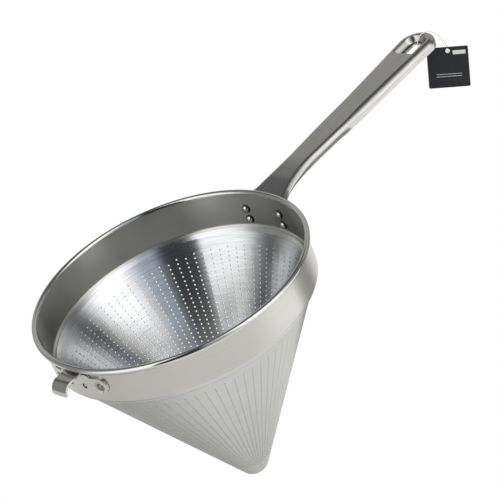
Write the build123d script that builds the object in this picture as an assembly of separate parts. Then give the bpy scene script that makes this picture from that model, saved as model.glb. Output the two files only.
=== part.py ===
from build123d import *
import math
import os

# Chinois strainer: a perforated cone seated in a short collar with a wired rim, a pressed
# channel handle on four rivets, a front rest hook on two rivets, and a card tag on a string.
# Millimetres. Z is the axis of the cone with the mouth up, and +X runs out along the handle.
# The origin is the centre of the mouth, on the plane of the rim's top.

# Shared
overrun = 5.0  # how far a cutting tool runs past what it cuts
fit_gap = 0.05  # between sheets and rivets that are drawn tight
steel_sheet = 1.8  # handle and hook
rivet_clearance = 0.05  # a shank in its hole, on the radius

# Collar and its wired rim
mouth_radius = 120.0
collar_sheet = 1.0
rim_wire_radius = 1.6
rim_curl_angle = 290.0
collar_height = 35.6  # rim top to the bend of the shoulder
shoulder_inset = 4.6
shoulder_drop = 5.4
shoulder_bend = 3.0

# Perforated cone
overall_depth = 225.0
tip_radius = 15.0
cone_sheet = 0.9
seat_width = 4.0  # of the cone's flange that lies on the collar's shoulder
hole_radius = 0.75
hole_columns = 80
hole_start_angle = 0.95  # from the handle
row_pitch = 4.2  # along the wall, and odd columns start half of it lower
first_row_depth = 51.1  # below the rim top
plain_tip_length = 18.0  # of the wall above the round tip, left without holes
drilled_column_step = 2  # one column in two and one row in six are drilled here, and
drilled_row_step = 6  # steps of 1 drill the full pattern

# Handle, a channel open underneath
handle_reach = 384.8  # from the axis of the cone to the end of the handle
handle_root_half = 31.0
handle_neck_half = 13.5
handle_end_half = 20.0
handle_neck_at = 175.0  # from the axis, where the flare of the root ends
flare_shares = ((0.03, 1.0), (0.12, 0.65), (0.28, 0.35), (0.56, 0.16))
handle_root_drop = 7.1  # rim top down to the top of the handle at the collar
handle_bend_at = 172.0
neck_rise = 6.4
grip_rise = 2.62
handle_bend = 250.0
wall_depth = 9.0
root_wall_depth = 4.8
root_wall_length = 20.0
wall_step_length = 30.0
wall_bend = 40.0
handle_shoulder = 4.0
plate_half = 29.0
plate_bottom = 34.4  # below the rim top
plate_corner = 8.0

# Dished recess and hanging slot at the end of the handle
recess_half = 12.4
recess_length = 32.0
recess_margin = 7.6  # from the end of the handle
recess_depth = 5.4
recess_draft = 25.0
recess_corner = 3.0
slot_length = 17.5
slot_half = 4.4
slot_corner = 1.6
slot_margin = 15.4  # from the end of the handle

# Handle rivets, domed inside the collar
rivet_angle = 10.0  # to each side of the handle
rivet_depths = (18.4, 29.6)
rivet_shank = 2.0
rivet_head = 4.3
rivet_dome = 2.6
rivet_tail = 3.6
rivet_tail_height = 1.2

# Front rest hook
hook_root_half = 9.7
hook_end_half = 8.7
hook_top = 6.8  # below the rim top
hook_reach = 20.7  # out from the collar
hook_drop = 9.8
hook_root_bend = 2.0
hook_bend = 8.0
hook_corner = 3.0
lug_half = 33.0
lug_height = 15.4
lug_depth = 18.4
apron_half = 17.0
apron_top = 7.8  # below the rim top
apron_corner = 3.0
hook_rivet_angle = 11.9
hook_rivet_depth = 19.8
hook_rivet_shank = 1.6
hook_rivet_head = 3.5
hook_rivet_dome = 1.4
hook_rivet_tail = 2.8
hook_rivet_tail_height = 0.7
press_mark_angle = 4.0
press_mark_radius = 2.2
press_mark_depth = 0.4
dish_radius = 4.3
dish_depth = 0.7

# Card tag on a string. The tag faces across and up, as it lies beside the handle.
tag_width = 40.0
tag_height = 39.0
tag_card = 0.8
tag_corner = 1.5
tag_hole_radius = 2.0
tag_hole_margin = 4.0  # from the top edge to the centre of the hole
tag_hole_place = (384.3, -19.5, -13.6)
tag_facing = (-0.5154, -0.6970, 0.4985)
tag_across = (0.666, -0.691, -0.2757)
string_diameter = 0.9
strand_offset = 0.85
strand_lead = 4.6  # behind the card, where the strands run square to it
knot_radius = 2.3
knot_gap = 0.3

# Worked out from the sizes above
bead_radius = rim_wire_radius + fit_gap + collar_sheet
bead_centre_radius = mouth_radius + bead_radius
collar_outer = mouth_radius + collar_sheet
shoulder_length = math.hypot(shoulder_inset, shoulder_drop)
shoulder_down = Vector(-shoulder_inset, -shoulder_drop) / shoulder_length
shoulder_in = Vector(-shoulder_drop, shoulder_inset) / shoulder_length
collar_bend = Vector(mouth_radius + collar_sheet / 2, -collar_height)
collar_lip = collar_bend + shoulder_down * shoulder_length
seat_point = collar_lip + shoulder_in * (collar_sheet / 2 + fit_gap)
tip_centre = -overall_depth + tip_radius
seat_to_tip = math.hypot(seat_point.X, seat_point.Y - tip_centre)
cone_angle = math.atan2(seat_point.X, seat_point.Y - tip_centre) - math.asin(tip_radius / seat_to_tip)
cone_down = Vector(-math.sin(cone_angle), -math.cos(cone_angle))
cone_in = Vector(-math.cos(cone_angle), math.sin(cone_angle))
plate_outer = collar_outer + fit_gap + steel_sheet
wall_end = -tip_centre + tip_radius * math.sin(cone_angle)  # below the rim top
holes_length = (wall_end - first_row_depth) / math.cos(cone_angle) - plain_tip_length
hole_rows = int(holes_length / row_pitch + 0.5)
holes_end = first_row_depth + (holes_length + row_pitch) * math.cos(cone_angle)


def collar_profile():
    """Half section of the collar: the curled rim, the wall and the turned-in shoulder."""
    curl = CenterArc((bead_centre_radius, -bead_radius), bead_radius - collar_sheet / 2, 180, -rim_curl_angle)
    wall = FilletPolyline(
        (collar_bend.X, -bead_radius), collar_bend, collar_lip, radius=shoulder_bend
    )
    return trace([curl, wall], collar_sheet)


def make_collar():
    """The collar with holes for the rivets of the handle and of the hook."""
    collar = revolve(Plane.XZ * collar_profile(), Axis.Z)
    for angle, depth in handle_rivet_places():
        collar -= radial(angle, depth) * drill(rivet_shank)
    for angle in hook_rivet_angles():
        collar -= radial(angle, hook_rivet_depth) * drill(hook_rivet_shank)
    return collar


def make_rim_wire():
    """The ring of wire that the rim is curled round."""
    return Pos(0, 0, -bead_radius) * Torus(bead_centre_radius, rim_wire_radius)


def wall_point(depth):
    """Point on the middle of the cone's wall at a depth below the rim top."""
    start = seat_point + cone_in * (cone_sheet / 2)
    return start + cone_down * ((start.Y + depth) / math.cos(cone_angle))


def flange_corner():
    """Where the middle lines of the cone's flange and wall cross."""
    flange = seat_point + shoulder_in * (cone_sheet / 2)
    wall = seat_point + cone_in * (cone_sheet / 2)
    across = flange - wall
    turn = cone_down.X * shoulder_down.Y - cone_down.Y * shoulder_down.X
    along = (across.X * shoulder_down.Y - across.Y * shoulder_down.X) / turn
    return wall + cone_down * along


def cone_profile():
    """Half section of the cone: the flange on the collar's shoulder, the wall and the round tip."""
    middle = tip_radius - cone_sheet / 2
    side = math.degrees(cone_angle)
    corner = flange_corner()
    end = (middle * math.cos(cone_angle), tip_centre - middle * math.sin(cone_angle))
    wall = Polyline(corner - shoulder_down * seat_width, corner, end)
    return trace(wall + CenterArc((0, tip_centre), middle, -side, side - 90), cone_sheet)


def hole_tools(step):
    """Drills for two neighbouring columns, square to the wall, the second half a row lower."""
    pitch = row_pitch * drilled_row_step * math.cos(cone_angle)
    tools = []
    for column in range(2):
        for row in range(hole_rows // drilled_row_step):
            centre = wall_point(first_row_depth + (row + column / 2) * pitch)
            through = Plane((centre.X, 0, centre.Y), z_dir=(-cone_in.X, 0, -cone_in.Y))
            tool = through * Cylinder(hole_radius, 4 * cone_sheet)
            tools.append(tool.rotate(Axis.Z, step * (column + 0.5)))
    return tools


def make_cone():
    """The cone, drilled as one sector of two columns whose faces are then turned round the axis."""
    step = 360 / hole_columns * drilled_column_step
    below = Pos(mouth_radius, -holes_end - mouth_radius) * Rectangle(2 * mouth_radius, 2 * mouth_radius)
    upper = cone_profile() - below
    sector = revolve(Plane.XZ * upper, Axis.Z, 2 * step) - hole_tools(step)
    kept = [
        face
        for face in sector.faces()
        if face.geom_type != GeomType.PLANE or abs(face.normal_at().Z) > 0.5
    ]
    turned = [face.rotate(Axis.Z, 2 * step * k) for k in range(round(180 / step)) for face in kept]
    tip = revolve(Plane.XZ * (cone_profile() - upper), Axis.Z)
    return Rot(0, 0, hole_start_angle) * (Solid(Shell(turned)) + tip)


def handle_top(x):
    """Height of the handle's top at a distance from the axis, without the bend's rounding."""
    bend = -handle_root_drop + (handle_bend_at - collar_outer) * math.tan(math.radians(neck_rise))
    slope = neck_rise if x < handle_bend_at else grip_rise
    return bend + (x - handle_bend_at) * math.tan(math.radians(slope))


def bend_radii(points):
    """Radius for each inner corner, so that a bend takes 0.45 of the shorter run beside it."""
    radii = []
    for a, b, c in zip(points, points[1:], points[2:]):
        turn = (b - a).get_angle(c - b)
        shorter = min((b - a).length, (c - b).length)
        radii.append(0.45 * shorter / math.tan(math.radians(turn) / 2))
    return radii


def handle_outline(inset):
    """The handle seen from above, drawn in by inset."""
    flare = handle_neck_at - collar_outer
    extra = handle_root_half - handle_neck_half
    end_at = handle_reach - handle_end_half
    side = [Vector(collar_outer - overrun, handle_root_half)]
    side += [Vector(collar_outer + flare * a, handle_neck_half + extra * b) for a, b in flare_shares]
    side += [Vector(handle_neck_at, handle_neck_half), Vector(end_at, handle_end_half)]
    edge = FilletPolyline(*side, radius=bend_radii(side))
    other = mirror(edge, Plane.XZ)
    end = ThreePointArc(edge @ 1, (handle_reach, 0), other @ 1)
    outline = make_face([edge, end, other, Line(edge @ 0, other @ 0)])
    return offset(outline, -inset) if inset else outline


def handle_side(lowered, bottom_open):
    """The handle seen from the side: its bent top, lowered, down to the walls' lower edge."""
    start = mouth_radius - 2 * overrun
    stop = handle_reach + overrun
    top = FilletPolyline(
        (start, handle_top(start) - lowered),
        (handle_bend_at, handle_top(handle_bend_at) - lowered),
        (stop, handle_top(stop) - lowered),
        radius=handle_bend,
    )
    step_at = collar_outer + root_wall_length
    full_at = step_at + wall_step_length
    if bottom_open:
        low = handle_top(start) - wall_depth - 2 * overrun
        under = Line((start, low), (stop, low))
    else:
        under = FilletPolyline(
            (start, handle_top(start) - root_wall_depth),
            (step_at, handle_top(step_at) - root_wall_depth),
            (full_at, handle_top(full_at) - wall_depth),
            (stop, handle_top(stop) - wall_depth),
            radius=wall_bend,
        )
    ends = [Line(top @ 0, under @ 0), Line(top @ 1, under @ 1)]
    return make_face([top, under] + ends)


def channel(inset, lowered, bottom_open):
    """One skin of the channel, with its upper edge rounded."""
    height = 4 * (wall_depth + handle_reach * math.tan(math.radians(grip_rise)))
    block = extrude(Pos(0, 0, -height / 2) * handle_outline(inset), height)
    side = extrude(Plane.XZ * handle_side(lowered, bottom_open), 2 * handle_root_half, both=True)
    skin = block & side
    upper = [
        edge
        for edge in skin.edges()
        if abs((edge @ 0.5).Z - handle_top((edge @ 0.5).X) + lowered) < collar_sheet
        and abs((edge @ 0.5).Y) > handle_neck_half / 2
        or abs((edge @ 0.5).X - handle_reach + inset) < fit_gap
        and (edge @ 0.5).Z > handle_top(handle_reach) - lowered - wall_depth / 2
    ]
    return fillet(upper, handle_shoulder - inset)


def grip_plane(x):
    """A plane on the top of the grip at a distance from the axis, with x along the grip."""
    rise = math.radians(grip_rise)
    return Plane(
        (x, 0, handle_top(x)),
        x_dir=(math.cos(rise), 0, math.sin(rise)),
        z_dir=(-math.sin(rise), 0, math.cos(rise)),
    )


def recess(grown, deeper):
    """The dished recess as a tapered block, grown on every side and made deeper."""
    half = recess_half + grown
    length = recess_length + 2 * grown
    plan = Pos(-length / 2 + grown, 0) * Rectangle(length, 2 * half)
    plan = fillet(plan.vertices().group_by(Axis.X)[-1], half * 0.98)
    plan = fillet(plan.vertices().group_by(Axis.X)[0], recess_corner + grown)
    place = grip_plane(handle_reach - recess_margin)
    return extrude(place * plan, -(recess_depth + deeper), taper=recess_draft)


def make_handle():
    """The handle: a hollow channel, a base plate on the collar, the dished recess and the slot."""
    body = channel(0, 0, False)
    hollow = channel(steel_sheet, steel_sheet, True)
    handle = body - (hollow - recess(steel_sheet, steel_sheet)) - recess(0, 0)
    slot = fillet(Rectangle(slot_length, 2 * slot_half).vertices(), slot_corner)
    slot_at = grip_plane(handle_reach - slot_margin - slot_length / 2)
    handle -= extrude(slot_at * slot, wall_depth + overrun, both=True)
    tall = plate_bottom - handle_root_drop
    shape = Rectangle(2 * plate_half, tall)
    shape = fillet(shape.vertices().group_by(Axis.Y)[0], plate_corner)
    middle = -(plate_bottom + handle_root_drop) / 2
    slab = extrude(Plane.YZ * Pos(0, middle) * shape, 2 * plate_outer)
    sleeve = Cylinder(plate_outer, 4 * plate_bottom)
    handle += sleeve & slab
    handle -= Cylinder(collar_outer + fit_gap, 4 * plate_bottom)
    for angle, depth in handle_rivet_places():
        handle -= radial(angle, depth) * drill(rivet_shank)
    return handle


def radial(angle, depth):
    """A place on the axis at a depth below the rim top, whose x points outwards at an angle."""
    return Rot(0, 0, angle) * Pos(0, 0, -depth)


def drill(shank):
    """A cutter along x through the collar and what is riveted on it."""
    return Pos(mouth_radius, 0, 0) * Rot(0, 90, 0) * Cylinder(shank + rivet_clearance, 6 * steel_sheet)


def blind_cut(radius, depth):
    """A cutter along x that reaches a depth into the outside of a riveted plate."""
    return Pos(plate_outer - depth + overrun / 2, 0, 0) * Rot(0, 90, 0) * Cylinder(radius, overrun)


def handle_rivet_places():
    """Angle and depth of each handle rivet."""
    return [(side * rivet_angle, depth) for side in (1, -1) for depth in rivet_depths]


def hook_rivet_angles():
    """Angles of the two hook rivets, opposite the handle."""
    return (180 - hook_rivet_angle, 180 + hook_rivet_angle)


def rivet(shank, head, dome, tail, tail_height, inner_dome, sunk):
    """A rivet along x through the collar and one sheet: a domed head on one side, a flat on the other."""
    inside = math.sqrt(mouth_radius**2 - max(head, tail) ** 2) - fit_gap
    outside = plate_outer - sunk + fit_gap
    at, way = (inside, -1) if inner_dome else (outside, 1)
    flat_at = outside if inner_dome else inside
    ball = (head**2 + dome**2) / (2 * dome)
    cap = Pos(at + way * (dome - ball), 0) * Circle(ball)
    cap -= Pos(at - 2 * way * ball, 0) * Rectangle(4 * ball, 4 * ball)
    cap -= Pos(at, -ball) * Rectangle(4 * ball, 2 * ball)
    shank_bar = Pos((inside + outside) / 2, shank / 2) * Rectangle(outside - inside, shank)
    flat = Pos(flat_at - way * tail_height / 2, tail / 2) * Rectangle(tail_height, tail)
    return revolve(cap + shank_bar + flat, Axis.X)


def make_hook():
    """The rest hook: a lobed plate on the collar and a strap that turns out and down."""
    out = collar_outer + fit_gap + steel_sheet / 2
    tip_at = collar_outer + hook_reach - steel_sheet / 2
    strap_z = -hook_top - steel_sheet / 2
    path = FilletPolyline(
        (-out, -lug_depth),
        (-out, strap_z),
        (-tip_at, strap_z),
        (-tip_at, -hook_top - hook_drop),
        radius=[hook_root_bend, hook_bend],
    )
    strap = extrude(Plane.XZ * trace(path, steel_sheet), hook_root_half, both=True)
    plan = make_face(
        Polyline(
            (-out + steel_sheet, hook_root_half),
            (-tip_at - overrun, hook_end_half),
            (-tip_at - overrun, -hook_end_half),
            (-out + steel_sheet, -hook_root_half),
            close=True,
        )
    )
    strap &= extrude(plan, 2 * plate_bottom, both=True)
    front = Pos(0, -hook_top - hook_drop / 2) * Rectangle(2 * hook_root_half, hook_drop)
    lower = front.vertices().group_by(Axis.Y)[0]
    rounded = fillet(lower, hook_corner)
    beyond = Plane.YZ.offset(-tip_at - overrun) * rounded
    ends = extrude(beyond, overrun + hook_bend)
    inner = Pos(-out - hook_reach / 2 + hook_bend, 0, -lug_depth) * Box(
        hook_reach, 2 * hook_root_half, 2 * lug_depth
    )
    strap &= ends + inner
    outline = Pos(0, -lug_depth) * SlotOverall(2 * lug_half, lug_height)
    apron_height = lug_depth - apron_top
    apron = Rectangle(2 * apron_half, apron_height)
    apron = fillet(apron.vertices().group_by(Axis.Y)[-1], apron_corner)
    outline += Pos(0, -apron_top - apron_height / 2) * apron
    slab = extrude(Plane.YZ * outline, -2 * plate_outer)
    hook = (Cylinder(plate_outer, 4 * plate_bottom) & slab) + strap
    hook -= Cylinder(collar_outer + fit_gap, 4 * plate_bottom)
    for angle in hook_rivet_angles():
        hook -= radial(angle, hook_rivet_depth) * drill(hook_rivet_shank)
        hook -= radial(angle, hook_rivet_depth) * blind_cut(dish_radius, dish_depth)
    for angle in (180 - press_mark_angle, 180 + press_mark_angle):
        hook -= radial(angle, hook_rivet_depth) * blind_cut(press_mark_radius, press_mark_depth)
    return hook


def tag_plane():
    """The plane of the tag's face, with its origin at the hole and y up the tag."""
    return Plane(tag_hole_place, x_dir=tag_across, z_dir=tag_facing)


def make_tag():
    """The card tag with its punched hole."""
    card = fillet(Rectangle(tag_width, tag_height).vertices(), tag_corner)
    card = Pos(0, tag_hole_margin - tag_height / 2) * card - Circle(tag_hole_radius)
    return extrude(tag_plane() * card, -tag_card)


def make_knot():
    """The knot in front of the hole, a ball with a flat where the strands leave it."""
    centre = knot_gap + knot_radius / 2
    ball = Pos(0, 0, centre) * Sphere(knot_radius)
    keep = Pos(0, 0, knot_gap + knot_radius) * Box(4 * knot_radius, 4 * knot_radius, 2 * knot_radius)
    return tag_plane() * (ball & keep)


def string_route():
    """Corners of the string: through the hole, under the handle, up the slot, over the end, back."""
    tag = tag_plane()
    start = tag.from_local_coords(Vector(-strand_offset, 0, knot_gap))
    behind = tag.from_local_coords(Vector(-strand_offset, 0, -strand_lead))
    free = [
        (381.2, -12.5, -15.2),
        (376.0, -5.0, -11.5),
        (370.2, 1.5, -5.0),
        (368.3, 0.6, 1.6),
        (369.2, 0.2, 7.2),
        (375.0, -0.6, 11.4),
        (382.6, -3.4, 10.6),
        (387.0, -6.2, 4.2),
        (388.6, -10.0, -3.4),
        (389.0, -14.6, -10.6),
    ]
    last = tag.from_local_coords(Vector(strand_offset, 0, -strand_lead))
    end = tag.from_local_coords(Vector(strand_offset, 0, knot_gap))
    return [start, behind] + [Vector(*p) for p in free] + [last, end]


def make_string():
    """The string, as straight runs joined by tangent arcs."""
    points = string_route()
    radii = bend_radii(points)
    path = FilletPolyline(*points, radius=radii)
    section = Plane(path @ 0, z_dir=path % 0) * Circle(string_diameter / 2)
    string = sweep(section, path)
    print("string bend radii", [round(r, 1) for r in radii], "length", round(path.length, 1))
    print("string volume", string.volume, "section times length", section.area * path.length)
    return string


def main():
    """Writes every sub-part to its own file."""
    os.makedirs("parts", exist_ok=True)
    parts = {
        "collar": make_collar(),
        "rim_wire": make_rim_wire(),
        "perforated_cone": make_cone(),
        "handle": make_handle(),
        "rest_hook": make_hook(),
        "hang_tag": make_tag(),
        "tag_string": make_string(),
        "string_knot": make_knot(),
    }
    pair = rivet(rivet_shank, rivet_head, rivet_dome, rivet_tail, rivet_tail_height, True, 0)
    names = ("left_upper", "left_lower", "right_upper", "right_lower")
    for name, (angle, depth) in zip(names, handle_rivet_places()):
        parts["handle_rivet_" + name] = radial(angle, depth) * pair
    single = rivet(
        hook_rivet_shank,
        hook_rivet_head,
        hook_rivet_dome,
        hook_rivet_tail,
        hook_rivet_tail_height,
        False,
        dish_depth,
    )
    for name, angle in zip(("left", "right"), hook_rivet_angles()):
        parts["hook_rivet_" + name] = radial(angle, hook_rivet_depth) * single
    for name, shape in parts.items():
        export_step(shape, f"parts/{name}.step")
    print("holes drilled", len(parts["perforated_cone"].faces().filter_by(GeomType.CYLINDER)))


main()
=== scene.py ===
import math

import bmesh
import bpy
import numpy as np
from mathutils import Matrix, Vector


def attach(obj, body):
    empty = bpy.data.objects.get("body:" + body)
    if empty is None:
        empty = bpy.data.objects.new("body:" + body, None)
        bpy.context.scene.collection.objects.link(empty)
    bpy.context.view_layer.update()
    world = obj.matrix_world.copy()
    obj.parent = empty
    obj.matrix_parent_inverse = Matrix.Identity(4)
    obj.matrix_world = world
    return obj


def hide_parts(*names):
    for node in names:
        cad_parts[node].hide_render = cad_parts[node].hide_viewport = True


# Chinois strainer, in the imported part's frame: +Z up the axis of the cone, +X along the handle, with the
# origin in the middle of the mouth, level with the top of its rim. The pieces' values are in degrees and in
# millimetres, which mm turns to metres, and the camera's place is in metres.

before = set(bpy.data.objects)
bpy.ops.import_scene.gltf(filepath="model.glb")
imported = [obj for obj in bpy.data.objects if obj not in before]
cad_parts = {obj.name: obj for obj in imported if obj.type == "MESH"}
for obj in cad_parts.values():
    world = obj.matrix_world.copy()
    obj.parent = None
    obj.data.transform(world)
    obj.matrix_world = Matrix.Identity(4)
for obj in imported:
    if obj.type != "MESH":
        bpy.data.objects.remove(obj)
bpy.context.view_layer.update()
mm = 0.001
scene = bpy.context.scene
scene.view_settings.view_transform = "Standard"
print("frame loaded:", len(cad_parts), "nodes")


# Camera

cameraValues = {
    "place": (-0.63884, -0.98410, 0.66420),
    "right": (0.62506, -0.70373, -0.33774),
    "down": (-0.58622, -0.13751, -0.79840),
    "forward": (0.51541, 0.69703, -0.49849),
    "lens": 115.2,  # for a 36 mm wide sensor
}


def makeCamera(values):
    data = bpy.data.cameras.new("camera")
    data.sensor_fit = "HORIZONTAL"
    data.sensor_width = 36.0
    data.lens = values["lens"]
    data.clip_end = 20.0
    camera = bpy.data.objects.new("camera", data)
    scene.collection.objects.link(camera)
    right, down, forward = (Vector(values[key]).normalized() for key in ("right", "down", "forward"))
    axes = Matrix((right, -down, -forward)).transposed()
    camera.matrix_world = Matrix.Translation(values["place"]) @ axes.to_4x4()
    scene.camera = camera


makeCamera(cameraValues)


# String of the tag, declared right after the camera. Its mesh comes further down, with its yarn.

tagValues = {
    "hole": (384.3, -19.5, -13.6),
    "facing": (-0.5154, -0.6970, 0.4985),
    "across": (0.666, -0.691, -0.2757),
    "width": 40.0,
    "height": 39.0,
    "card": 0.8,
    "corner": 1.5,
    "ease": 0.12,  # of the cut edges
    "holeRadius": 2.0,
    "holeMargin": 4.0,
}
stringValues = {
    "diameter": 0.9,
    "length": 92.2,
    "lead": [(-0.85, 0, 0.3), (-0.85, 0, -4.6)],  # from the hole, across, up and out of the card
    "route": [
        (381.2, -12.5, -15.2), (376.0, -5.0, -11.5), (370.2, 1.5, -5.0), (368.5, 0.3, 1.6),
        (369.8, -0.9, 6.8), (375.2, -2.6, 10.1), (382.4, -5.0, 9.3), (388.4, -7.4, 3.4),
        (391.2, -10.4, -4.0), (391.0, -14.8, -11.0),
    ],
    "tail": [(0.85, 0, -4.6), (0.85, 0, 0.3)],
    "lay": 3.4,  # length of one turn of the three strands
    "around": 24,
}


# Points given across, up and out of the tag's face, from its hole, as places in the frame.
def onTag(points):
    out, across = np.array(tagValues["facing"]), np.array(tagValues["across"])
    out = out / np.linalg.norm(out)
    across = across - out * (out @ across)
    across /= np.linalg.norm(across)
    return np.asarray(points, float) @ np.array([across, np.cross(out, across), out]) + tagValues["hole"]


# A NURBS line with the route's points as its control points, as an array of points along it.
def makeRoute(values):
    route = np.concatenate([onTag(values["lead"]), np.array(values["route"]), onTag(values["tail"])])
    data = bpy.data.curves.new("stringRoute", "CURVE")
    data.dimensions = "3D"
    data.resolution_u = 36
    spline = data.splines.new("NURBS")
    spline.points.add(len(route) - 1)
    spline.points.foreach_set("co", np.concatenate([route * mm, np.ones((len(route), 1))], 1).ravel())
    spline.order_u = 3
    spline.use_endpoint_u = True
    line = bpy.data.objects.new("stringRoute", data)
    scene.collection.objects.link(line)
    read = bpy.data.meshes.new_from_object(line)
    points = np.empty(len(read.vertices) * 3)
    read.vertices.foreach_get("co", points)
    bpy.data.objects.remove(line)
    bpy.data.meshes.remove(read)
    return points.reshape(-1, 3) / mm


stringLine = makeRoute(stringValues)
print("camera set and string routed:", len(stringLine), "points")


# Material helpers


# Linear colour with alpha 1 from an sRGB hex value.
def hexColour(code):
    parts = [int(code[i : i + 2], 16) / 255 for i in (1, 3, 5)]
    return [c / 12.92 if c <= 0.04045 else ((c + 0.055) / 1.055) ** 2.4 for c in parts] + [1.0]


# Adds one node. Settings go to its properties, its unlinked sockets or its ramp's (place, colour) stops,
# and links to its sockets.
def addNode(tree, kind, settings=None, links=None):
    node = tree.nodes.new(kind)
    for key, value in (settings or {}).items():
        if key == "stops":
            elements = node.color_ramp.elements
            for place, _ in value[1:-1]:
                elements.new(place)
            elements[0].position, elements[-1].position = value[0][0], value[-1][0]
            for element, (_, code) in zip(elements, value):
                element.color = hexColour(code)
        elif isinstance(key, int) or key in node.inputs:
            node.inputs[key].default_value = value
        else:
            setattr(node, key, value)
    for key, socket in (links or {}).items():
        tree.links.new(socket, node.inputs[key])
    return node


def newMaterial(name):
    material = bpy.data.materials.new(name)
    material.use_nodes = True
    material.node_tree.nodes.clear()
    return material, material.node_tree


# Stainless steel with fine brush lines along u: noise stretched along the lines varies the colour and the
# bump, and a cloudy noise the roughness. The lines are wider than real ones, so that they show.
def steelMaterial(name, values):
    material, tree = newMaterial(name)
    coords = addNode(tree, "ShaderNodeTexCoord").outputs
    across, along = (1 / (size * mm) for size in values["line"])
    stretch, place = {"Scale": (along, across, across)}, coords[values.get("coords", "UV")]
    stretched = addNode(tree, "ShaderNodeMapping", stretch, {"Vector": place}).outputs["Vector"]
    grain = {"Scale": 1.0, "Detail": 3.0, "Roughness": 0.6}
    lines = addNode(tree, "ShaderNodeTexNoise", grain, {"Vector": stretched}).outputs["Fac"]
    haze = {"Scale": 1 / (values["cloud"] * mm), "Detail": 2.0}
    cloud = addNode(tree, "ShaderNodeTexNoise", haze, {"Vector": coords["Object"]}).outputs["Fac"]
    stops = [(0.3, values["dark"]), (0.7, values["light"])]
    colour = addNode(tree, "ShaderNodeValToRGB", {"stops": stops}, {"Fac": lines}).outputs["Color"]
    low, high = values["roughness"]
    span = {"From Min": 0.1, "From Max": 0.9, "To Min": low, "To Max": high}
    rough = addNode(tree, "ShaderNodeMapRange", span, {"Value": cloud}).outputs["Result"]
    if "paintedShadingByHeight" in values:  # painted shading: darker, or lighter, from one height down to another
        start, end, share = values["paintedShadingByHeight"]
        height = addNode(tree, "ShaderNodeSeparateXYZ", links={0: coords["Object"]}).outputs["Z"]
        fade = {"From Min": start * mm, "From Max": end * mm, "To Min": 1.0, "To Max": share}
        level = addNode(tree, "ShaderNodeMapRange", fade, {"Value": height}).outputs["Result"]
        scaled = {"operation": "SCALE"}
        colour = addNode(tree, "ShaderNodeVectorMath", scaled, {0: colour, "Scale": level}).outputs["Vector"]
    if "marks" in values:  # darker rings round a place and its mirror image across the handle
        place, radius, ringColour = values["marks"]
        folded = addNode(tree, "ShaderNodeVectorMath", {"operation": "ABSOLUTE"}, {0: coords["Object"]})
        middle = {"operation": "DISTANCE", 1: [c * mm for c in place]}
        away = addNode(tree, "ShaderNodeVectorMath", middle, {0: folded.outputs["Vector"]}).outputs["Value"]
        share = addNode(tree, "ShaderNodeMapRange", {"From Max": 2 * radius * mm}, {"Value": away})
        stops = [(0.2, "#ffffff"), (0.3, ringColour), (0.54, ringColour), (0.6, "#ffffff")]
        ring = addNode(tree, "ShaderNodeValToRGB", {"stops": stops}, {"Fac": share.outputs["Result"]})
        both = {0: colour, 1: ring.outputs["Color"]}
        colour = addNode(tree, "ShaderNodeVectorMath", {"operation": "MULTIPLY"}, both).outputs["Vector"]
    groove = {"Strength": values["bump"], "Distance": 0.05 * mm}
    bump = addNode(tree, "ShaderNodeBump", groove, {"Height": lines})
    settings = {"Metallic": 1.0}
    links = {"Base Color": colour, "Roughness": rough, "Normal": bump.outputs["Normal"]}
    if "anisotropic" in values:  # highlights drawn out across lines that run round the axis
        settings |= {"Anisotropic": values["anisotropic"], "Anisotropic Rotation": 0.25}
        aroundAxis = {"direction_type": "RADIAL", "axis": "Z"}
        links["Tangent"] = addNode(tree, "ShaderNodeTangent", aroundAxis).outputs["Tangent"]
    shader = addNode(tree, "ShaderNodeBsdfPrincipled", settings, links)
    addNode(tree, "ShaderNodeOutputMaterial", links={"Surface": shader.outputs["BSDF"]})
    return material


# Mesh helpers


# A mesh from arrays of points and faces in millimetres. uv is one pair for each face corner.
def makePiece(name, points, faces, body, materials, uv=None, slots=None, sharpAngle=35):
    mesh = bpy.data.meshes.new(name)
    faces = faces.tolist() if hasattr(faces, "tolist") else faces
    mesh.from_pydata((np.asarray(points) * mm).tolist(), [], faces)
    if uv is not None:
        layer = mesh.uv_layers.new(name="surface")
        layer.data.foreach_set("uv", (np.asarray(uv) * mm).ravel())
    for material in materials:
        mesh.materials.append(material)
    if slots is not None:
        mesh.polygons.foreach_set("material_index", slots)
    mesh.polygons.foreach_set("use_smooth", [True] * len(mesh.polygons))
    mesh.set_sharp_from_angle(angle=math.radians(sharpAngle))
    mesh.update()
    piece = bpy.data.objects.new(name, mesh)
    scene.collection.objects.link(piece)
    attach(piece, body)
    return piece


# Quads of a grid of rows by columns points, and the grid place of each corner, unwrapped.
def gridFaces(rows, columns, closeRows, closeColumns):
    down = np.arange(rows if closeRows else rows - 1)
    across = np.arange(columns if closeColumns else columns - 1)
    i, j = np.meshgrid(down, across, indexing="ij")
    corners = [(i, j), (i, j + 1), (i + 1, j + 1), (i + 1, j)]
    faces = np.stack([(a % rows) * columns + b % columns for a, b in corners], -1).reshape(-1, 4)
    places = np.stack([np.stack([a, b], -1) for a, b in corners], -2).reshape(-1, 2)
    return faces, places


# A path through the points, each inner corner cut off by an arc of its own radius.
def roundedPath(points, radii, steps=10):
    points = [np.asarray(p, float) for p in points]
    path = [points[0][None]]
    for before, corner, after, radius in zip(points, points[1:], points[2:], radii):
        u = (before - corner) / np.linalg.norm(before - corner)
        v = (after - corner) / np.linalg.norm(after - corner)
        half = math.acos(float(np.clip(u @ v, -1, 1))) / 2
        middle = corner + (u + v) / np.linalg.norm(u + v) * radius / math.sin(half)
        start, end = corner + u * radius / math.tan(half), corner + v * radius / math.tan(half)
        t = np.linspace(0, 1, steps + 1)[:, None]
        chord = start * (1 - t) + end * t - middle
        path.append(middle + chord / np.linalg.norm(chord, axis=1)[:, None] * radius)
    path.append(points[-1][None])
    return np.concatenate(path)


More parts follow.
